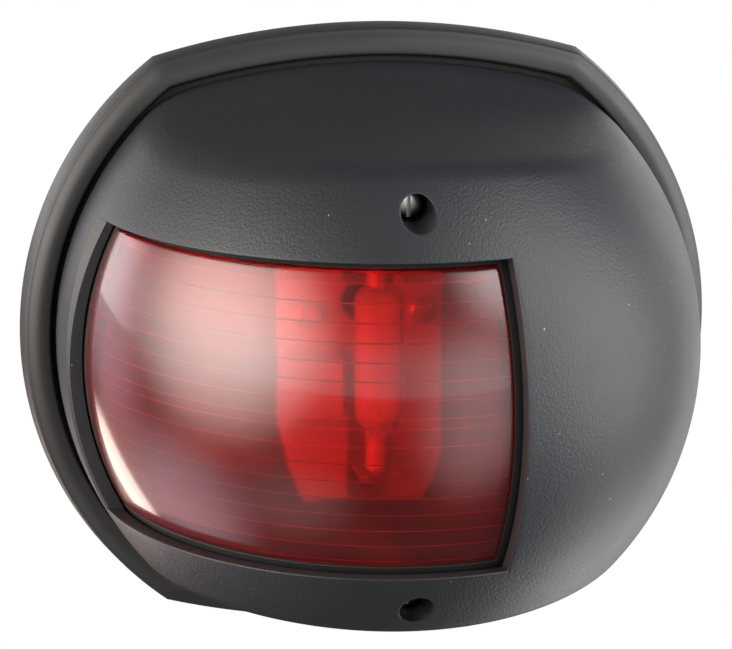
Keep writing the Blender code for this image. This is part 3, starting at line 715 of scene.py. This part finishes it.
def window_grid(levels, grows, recess_at):
    """A grid over the window: rows at given heights, columns that close in at its sides."""
    form = bmesh.new()
    rows, columns = len(levels), LENS_COLUMNS
    bmesh.ops.create_grid(form, x_segments=columns, y_segments=rows - 1, size=0.5)
    places = {}
    for vert in form.verts:
        column = round((vert.co.x + 0.5) * columns)
        row = round((vert.co.y + 0.5) * (rows - 1))
        places[vert] = (column, row)
        level = levels[row]
        side = min(column, columns - column, len(grows) - 1)
        recess = recess_at(level)
        left, right = window_edges(level, grows[side], recess)
        inner_left, inner_right = window_edges(level, grows[-1], recess)
        if column < len(grows):
            turn = left
        elif columns - column < len(grows):
            turn = right
        else:
            steps = len(grows) - 1
            share = (column - steps) / (columns - 2 * steps)
            turn = inner_left + (inner_right - inner_left) * share
        vert.co = dome_point(turn, level, recess)
    return form, places


def prism_levels():
    """Heights of the inside rows, with two at each prism's step."""
    limit = WINDOW_HALF_HEIGHT + FLANGE_REACH
    edges = []
    for sign in (-1, 1):
        for n in range(6):
            edges.append(BEAM_LEVEL + sign * (BEAM_HALF + PRISM_PITCH * n))
    edges = sorted([-limit, limit] + edges)
    levels = []
    for low, high in zip(edges, edges[1:]):
        first = low if low == -limit else low + STEP_NUDGE
        last = high if high == limit else high - STEP_NUDGE
        count = max(3, round((last - first) / 0.0008))
        levels += [first + (last - first) * i / count for i in range(count + 1)]
    return levels


def prism_recess(level):
    """Depth of the lens's inside at a height: a wide band and steps either side."""
    away = abs(level - BEAM_LEVEL)
    if away < BEAM_HALF:
        return LENS_BACK + PRISM_DEPTH * (1 - (away / BEAM_HALF)**2)
    if away < BEAM_HALF + 5 * PRISM_PITCH:
        share = ((away - BEAM_HALF) % PRISM_PITCH) / PRISM_PITCH
        return LENS_BACK + PRISM_DEPTH * (1 - share)
    return LENS_BACK


def lens_form():
    """Flange, raised field and prismed inside, joined round the flange's edge."""
    flange_half = WINDOW_HALF_HEIGHT + FLANGE_REACH
    field_half = WINDOW_HALF_HEIGHT - FIELD_INSET
    count = 60
    levels = [-flange_half + (flange_half - field_half) * i / EDGE_STEPS
              for i in range(EDGE_STEPS)]
    inside = [-field_half + 2 * field_half * i / count for i in range(count + 1)]
    levels = levels + inside + [-level for level in reversed(levels)]
    grows = [FLANGE_REACH - (FLANGE_REACH + FIELD_INSET) * i / EDGE_STEPS
             for i in range(EDGE_STEPS + 1)]
    face_form, places = window_grid(levels, grows, lambda level: FLANGE_RECESS)
    field = []
    for face in face_form.faces:
        column = sum(places[vert][0] for vert in face.verts) / 4
        row = sum(places[vert][1] for vert in face.verts) / 4
        in_columns = EDGE_STEPS < column < LENS_COLUMNS - EDGE_STEPS
        if in_columns and EDGE_STEPS < row < len(levels) - 1 - EDGE_STEPS:
            field.append(face)
    raised = bmesh.ops.extrude_face_region(face_form, geom=field)["geom"]
    bmesh.ops.delete(face_form, geom=field, context='FACES_KEEP_BOUNDARY')
    for vert in [part for part in raised if isinstance(part, bmesh.types.BMVert)]:
        level = vert.co.y
        turn = math.atan2(vert.co.x / (DOME_RADIUS - FLANGE_RECESS),
                          (vert.co.z - DOME_CENTRE) / (DOME_DEPTH - FLANGE_RECESS))
        old_left, old_right = window_edges(level, -FIELD_INSET, FLANGE_RECESS)
        left, right = window_edges(level, -FIELD_INSET, LENS_RECESS)
        share = (turn - old_left) / (old_right - old_left)
        vert.co = dome_point(left + (right - left) * share, level, LENS_RECESS)
    face_form.normal_update()
    round_off(face_form, corners(face_form, 50), EDGE_ROUNDING, 4)
    back_form, _ = window_grid(prism_levels(), grows, prism_recess)
    for face in back_form.faces:
        face.material_index = 1
    # Faces that stand across the surface (the step walls and their rounded edges) take the third
    # finish, a darker red that is painted shade for the gap beside the window's edge.
    for face in face_form.faces:
        middle = face.calc_center_median()
        across = Vector((middle.x / DOME_RADIUS**2, middle.y / DOME_RADIUS**2,
                         (middle.z - DOME_CENTRE) / DOME_DEPTH**2)).normalized()
        if abs(face.normal.dot(across)) < 0.9:
            face.material_index = 2
    form = together([face_form, back_form])
    bmesh.ops.bridge_loops(form, edges=[edge for edge in form.edges if edge.is_boundary])
    return form


def window_ring(grow, recess):
    """Points round the window's outline, grown or shrunk, at a recess."""
    across, up = 40, 24
    half = WINDOW_HALF_HEIGHT + grow

    def at(share, level):
        left, right = window_edges(level, grow, recess)
        return dome_point(left + (right - left) * share, level, recess)

    points = [at(i / across, -half) for i in range(across)]
    points += [at(1.0, -half + 2 * half * i / up) for i in range(up)]
    points += [at(1 - i / across, half) for i in range(across)]
    return points + [at(0.0, half - 2 * half * i / up) for i in range(up)]


lens = add_piece("lens_moulding", lens_form(), clear_red("red_acrylic"), "cover",
                 ["lens"], sharp=30)
lens.data.materials.append(clear_red("red_acrylic_prisms", frosted=True))
# Painted shade: the step walls get a red darkened to three tenths.
lens.data.materials.append(clear_red("red_acrylic_shaded_edge", shade_factor=0.30))
frame_rings = [window_ring(FLANGE_REACH, 0.0032), window_ring(-0.0011, 0.0032),
               window_ring(-0.0013, 0.0034), window_ring(-0.0013, 0.0040),
               window_ring(FLANGE_REACH, 0.0040)]
add_piece("lens_frame", pull_rings(frame_rings, shut=True), RUBBER, "cover",
          ["lens_seal"])

# ---------------------------------------------------------------- cover screws
# Two long slotted screws of turned stainless steel clamp the cover. Each sits on an
# O-ring in its well and enters a knurled brass insert set in the base's boss.
STEEL = moulded("turned_steel", (0.84, 0.83, 0.80), 0.30, grain=0.0003, depth=0.000004,
                patch=0.004, drift=0.10, metallic=1.0)
BRASS = moulded("drawn_brass", (0.80, 0.60, 0.30), 0.42, grain=0.0004, depth=0.000005,
                patch=0.005, drift=0.14, metallic=1.0)


def screw(node, radius, head, shank, slot, thread, turn=0.0):
    """A pan head with a slot, on a shank with rolled threads and a blunt point."""
    near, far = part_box(node)
    high, tip = -near.y, -far.y
    low = high - head
    crown = 0.30 * (high - low)
    profile = [(0, high), (0.5 * radius, high - 0.05 * crown), (0.8 * radius, high - 0.3 * crown),
               (0.95 * radius, high - 0.75 * crown), (radius, high - 1.3 * crown),
               (radius, low + 0.0001), (radius - 0.0001, low), (shank, low)]
    level, pitch = thread
    while level > tip + shank:
        profile += [(shank, level), (0.84 * shank, level - 0.5 * pitch)]
        level -= pitch
    profile += [(shank, tip + 0.5 * shank), (0.5 * shank, tip), (0, tip)]
    width, depth = slot
    blade = bmesh.new()
    bmesh.ops.create_cube(blade, size=1.0)
    blade.transform(Matrix.Translation((*middle_of(node), high + 0.001 - depth / 2))
                    @ Matrix.Rotation(turn, 4, 'Z')
                    @ Matrix.Diagonal((width, 4 * radius, depth + 0.002, 1.0)))
    return carve(turned(profile, 56, middle_of(node)), [('DIFFERENCE', blade)])


def knurled(node, radius, bore):
    """A brass insert: a bored sleeve with a straight knurl and a plain collar."""
    near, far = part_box(node)
    low, high = -far.y, -near.y
    across, up = middle_of(node)
    neck = high - 0.0012
    rings = []
    for outer, level, knurl in ((radius - 0.0002, low, False), (radius, low + 0.0003, True),
                                (radius, neck, True), (radius * 0.93, neck + 0.0001, False),
                                (radius, neck + 0.0004, False), (radius, high - 0.0001, False),
                                (radius - 0.0001, high, False), (bore, high, False),
                                (bore, low, False)):
        ring = []
        for i, (x, y, out) in enumerate(circle_ring(outer, level, 96)):
            shrink = 0.955 if knurl and i % 4 < 2 else 1.0
            ring.append((across + x * shrink, up + y * shrink, out))
        rings.append(ring)
    return pull_rings(rings, shut=True)


def section_ring(node):
    """A rubber ring of round section that fills a node's box."""
    low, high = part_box(node)
    outer, bottom, top = (high.x - low.x) / 2, -high.y, -low.y
    bore = 0.0018
    middle, half = (outer + bore) / 2, (outer - bore) / 2
    points = []
    for i in range(16):
        a = 2 * math.pi * i / 16
        points.append((middle + half * math.cos(a),
                       (bottom + top) / 2 + (top - bottom) / 2 * math.sin(a)))
    return turned(points, 48, middle_of(node), shut=True)


for side in ("upper", "lower"):
    add_piece(f"long_screw_{side}",
              screw(f"cover_screw_{side}", 0.0026, 0.0020, 0.0015, (0.0007, 0.0015),
                    (0.0335, 0.0005)),
              STEEL, f"screw_{side}", [f"cover_screw_{side}"])
    add_piece(f"knurled_insert_{side}", knurled(f"threaded_insert_{side}", 0.0026, 0.0018),
              BRASS, "base", [f"threaded_insert_{side}"])
    add_piece(f"o_ring_{side}", section_ring(f"screw_seal_{side}"), RUBBER, "cover",
              [f"screw_seal_{side}"])

# ---------------------------------------------------------------- lamp holder
# White nylon, moulded in one piece: an upright plate with raised blocks either side
# of the lamp, fixed to the base's two posts with short screws.
NYLON = moulded("white_nylon", (0.82, 0.80, 0.76), 0.42, grain=0.0007, depth=0.000015,
                patch=0.012, drift=0.05)


def rebuild(node, width, segments=2):
    """A node's own solid with its flat faces made whole and its edges rounded."""
    form = bmesh.new()
    form.from_mesh(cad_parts[node].data)
    form.transform(STAND_UP.inverted())
    bmesh.ops.remove_doubles(form, verts=form.verts, dist=2e-6)
    bmesh.ops.recalc_face_normals(form, faces=form.faces)
    bmesh.ops.dissolve_limit(form, angle_limit=math.radians(1.0), verts=form.verts,
                             edges=form.edges)
    bmesh.ops.remove_doubles(form, verts=form.verts, dist=2e-6)
    round_off(form, corners(form, 30), width, segments)
    return form


add_piece("holder_moulding", rebuild("lamp_holder", 0.00035, segments=3), NYLON, "base",
          ["lamp_holder"])
for side, turn in (("left", 0.5), ("right", -0.9)):
    add_piece(f"short_screw_{side}",
              screw(f"holder_screw_{side}", 0.0026, 0.0017, 0.00115, (0.0006, 0.0008),
                    (0.0140, 0.0007), turn),
              STEEL, "base", [f"holder_screw_{side}"])

# ---------------------------------------------------------------- contacts
# Two blades of spring brass with an open slot that grips the lamp's tip. The tab of
# each is closed on to the holder with a brass rivet.
for side in ("upper", "lower"):
    add_piece(f"spring_contact_{side}", rebuild(f"contact_{side}", 0.00012), BRASS, "base",
              [f"contact_{side}"])
    low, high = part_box(f"contact_rivet_{side}")
    top, foot = -low.y, -high.y
    flange = (high.x - low.x) / 2
    dome = [(flange * math.sin(a), top - 0.0009 * (1 - math.cos(a)))
            for a in [math.pi / 2 * i / 8 for i in range(9)]]
    profile = dome + [(0.0009, top - 0.0009), (0.0009, foot + 0.0008), (0.0017, foot + 0.0008),
                      (0.0017, foot + 0.0002), (0.0013, foot), (0, foot)]
    add_piece(f"rivet_{side}", turned(profile, 40, middle_of(f"contact_rivet_{side}")), BRASS,
              "base", [f"contact_rivet_{side}"])

# ---------------------------------------------------------------- festoon lamp
# A tube of pearl glass between two plated caps with pointed tips. A coiled tungsten
# filament is strung between the caps.
PLATED = moulded("plated_cap", (0.86, 0.85, 0.82), 0.42, grain=0.0005, depth=0.000006,
                 patch=0.004, drift=0.12, metallic=0.5)
TUNGSTEN = moulded("drawn_tungsten", (0.26, 0.26, 0.27), 0.38, grain=0.0002, depth=0.000002,
                   patch=0.002, drift=0.15, metallic=1.0)
glass_low, glass_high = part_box("bulb_glass")
LAMP_AXIS = ((glass_low + glass_high) / 2).xy
TUBE_RADIUS, TUBE_WALL = 0.0048, 0.0007
UPRIGHT = Matrix.Translation((LAMP_AXIS.x, LAMP_AXIS.y, 0.0))


def clear_glass(name):
    """Thin, faintly frosted lamp glass, slightly uneven."""
    made, tree, shader, place = start_finish(name)
    cloud = add_node(tree, "ShaderNodeTexNoise", {"Vector": place, "Scale": 180.0})
    tone = add_node(tree, "ShaderNodeMix", {
        0: cloud.outputs["Fac"], 6: (0.93, 0.96, 0.95, 1), 7: (0.98, 0.98, 0.97, 1)},
        data_type='RGBA')
    gloss = add_node(tree, "ShaderNodeMapRange", {
        "Value": cloud.outputs["Fac"], "To Min": 0.12, "To Max": 0.22})
    plug(tree, shader, {"Base Color": tone.outputs[2], "Roughness": gloss.outputs["Result"],
                        "Transmission Weight": 0.80, "IOR": 1.45})
    pass_light(tree, shader, (0.95, 0.96, 0.96, 1))
    return made


def glass_tube():
    """The tube's wall, drawn in to a neck at each end."""
    neck, neck_bore, shoulder, end = 0.00195, 0.0013, 0.0095, glass_high.z
    outside = [(TUBE_RADIUS, 0.0)]
    inside = [(TUBE_RADIUS - TUBE_WALL, 0.0)]
    for i in range(9):
        a = math.pi / 2 * i / 8
        outside.append((neck + (TUBE_RADIUS - neck) * math.cos(a),
                        shoulder + 0.0034 * math.sin(a)))
        inside.append((neck_bore + (TUBE_RADIUS - TUBE_WALL - neck_bore) * math.cos(a),
                       shoulder + 0.0026 * math.sin(a)))
    above = outside + [(neck, end), (neck_bore, end)] + inside[::-1]
    below = [(radius, -height) for radius, height in reversed(above[1:-1])]
    return turned(above + below, 56, shut=True)


def lamp_cap(node, sign):
    """A drawn cap with a rolled rim and a pointed tip."""
    low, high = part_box(node)
    tip, rim = max(abs(low.z), abs(high.z)), min(abs(low.z), abs(high.z))
    radius = (high.x - low.x) / 2
    profile = [(0.0, 0.0160), (0.00225, 0.0160), (0.00225, rim + 0.0001), (0.00235, rim),
               (radius, rim + 0.0001), (radius, rim + 0.0004), (radius - 0.00012, rim + 0.0006),
               (radius - 0.00012, 0.0181), (radius - 0.0003, 0.0184), (0.00135, tip - 0.0005),
               (0.0009, tip - 0.0001), (0.0004, tip), (0.0, tip)]
    return turned([(r, sign * h) for r, h in profile], 48)


def coil_wire():
    """The filament: a close coil between two straight tails."""
    turns, per_turn, coil, wire = 16, 10, 0.00062, 0.00011
    route = [Vector((0, 0, -0.0150)), Vector((0, 0, -0.0085))]
    for i in range(turns * per_turn + 1):
        a = 2 * math.pi * i / per_turn
        height = -0.0070 + 0.0140 * i / (turns * per_turn)
        route.append(Vector((coil * math.cos(a), coil * math.sin(a), height)))
    route += [Vector((0, 0, 0.0085)), Vector((0, 0, 0.0150))]
    return sweep(route, wire, 8)


def sweep(route, radius, sides):
    """A round wire pulled along a route of points."""
    rings = []
    side = Vector((1.0, 0.0, 0.0))
    for i, point in enumerate(route):
        ahead = route[min(i + 1, len(route) - 1)] - route[max(i - 1, 0)]
        ahead.normalize()
        side = side - ahead * side.dot(ahead)
        if side.length < 1e-6:
            side = ahead.orthogonal()
        side.normalize()
        up = ahead.cross(side)
        rings.append([point + radius * (side * math.cos(2 * math.pi * k / sides)
                                        + up * math.sin(2 * math.pi * k / sides))
                      for k in range(sides)])
    return pull_rings(rings)


add_piece("lamp_glass", glass_tube(), clear_glass("lamp_glass"), "bulb",
          ["bulb_glass"], turn=UPRIGHT)
for side, sign in (("upper", 1.0), ("lower", -1.0)):
    add_piece(f"lamp_cap_{side}", lamp_cap(f"bulb_cap_{side}", sign), PLATED, "bulb",
              [f"bulb_cap_{side}"], turn=UPRIGHT)
add_piece("lamp_filament", coil_wire(), TUNGSTEN, "bulb", ["bulb_filament"],
          turn=UPRIGHT)

# ---------------------------------------------------------------- terminal block
# A two-pole block of grey nylon with a brass sleeve and a clamping screw in each pole,
# held down by one screw through its middle.
GREY = moulded("grey_nylon", (0.15, 0.155, 0.165), 0.46, grain=0.0006, depth=0.000015,
               patch=0.010, drift=0.10)
add_piece("two_pole_block", rebuild("terminal_block", 0.00030), GREY, "base",
          ["terminal_block"])
add_piece("block_screw",
          screw("terminal_block_screw", 0.0023, 0.0015, 0.0010, (0.0006, 0.0007),
                (0.0060, 0.0006), 0.35),
          STEEL, "base", ["terminal_block_screw"])
for side in ("upper", "lower"):
    add_piece(f"clamp_screw_{side}",
              screw(f"terminal_screw_{side}", 0.0015, 0.0013, 0.0010, (0.0005, 0.0006),
                    (0.0108, 0.0005)),
              STEEL, f"clamp_screw_{side}", [f"terminal_screw_{side}"])
    add_piece(f"pole_sleeve_{side}", rebuild(f"terminal_sleeve_{side}", 0.00010), BRASS, "base",
              [f"terminal_sleeve_{side}"])

# ---------------------------------------------------------------- leads
# Stranded copper in red and in black PVC, from the terminal sleeves to the backs of
# the contacts' rivets.
RED_PVC = moulded("red_pvc", (0.50, 0.030, 0.028), 0.40, grain=0.0005, patch=0.006, drift=0.12)
BLACK_PVC = moulded("black_pvc", (0.018, 0.018, 0.019), 0.40, grain=0.0005, patch=0.006,
                    drift=0.20)
LEAD_RADIUS = 0.0010
AXIS_OUT = 0.0085


def smooth_route(knots):
    """A smooth curve through given points."""
    per_span = 8
    points = [Vector(knot) for knot in knots]
    points = [2 * points[0] - points[1]] + points + [2 * points[-1] - points[-2]]
    route = []
    for a, b, c, d in zip(points, points[1:], points[2:], points[3:]):
        for i in range(per_span):
            t = i / per_span
            route.append(0.5 * (2 * b + (c - a) * t + (2 * a - 5 * b + 4 * c - d) * t**2
                                + (3 * b - a - 3 * c + d) * t**3))
    route.append(points[-2])
    return route


for side, up, sign, finish, slot in (("upper", 0.0075, 1.0, RED_PVC, "red_pvc"),
                                     ("lower", -0.0035, -1.0, BLACK_PVC, "black_pvc")):
    eye = sign * 0.0240
    route = smooth_route([(0.0235, up, AXIS_OUT), (0.0195, up, AXIS_OUT),
                          (0.0150, up + sign * 0.0035, AXIS_OUT),
                          (0.0095, sign * 0.0185, 0.0080), (0.0020, sign * 0.0235, 0.0075),
                          (-0.0022, eye, 0.0090), (LAMP_AXIS.x, eye, 0.0118),
                          (LAMP_AXIS.x, eye, 0.0133)])
    add_piece(f"wire_{side}", sweep(route, LEAD_RADIUS, 20), finish, "base",
              [f"lead_{side}"])
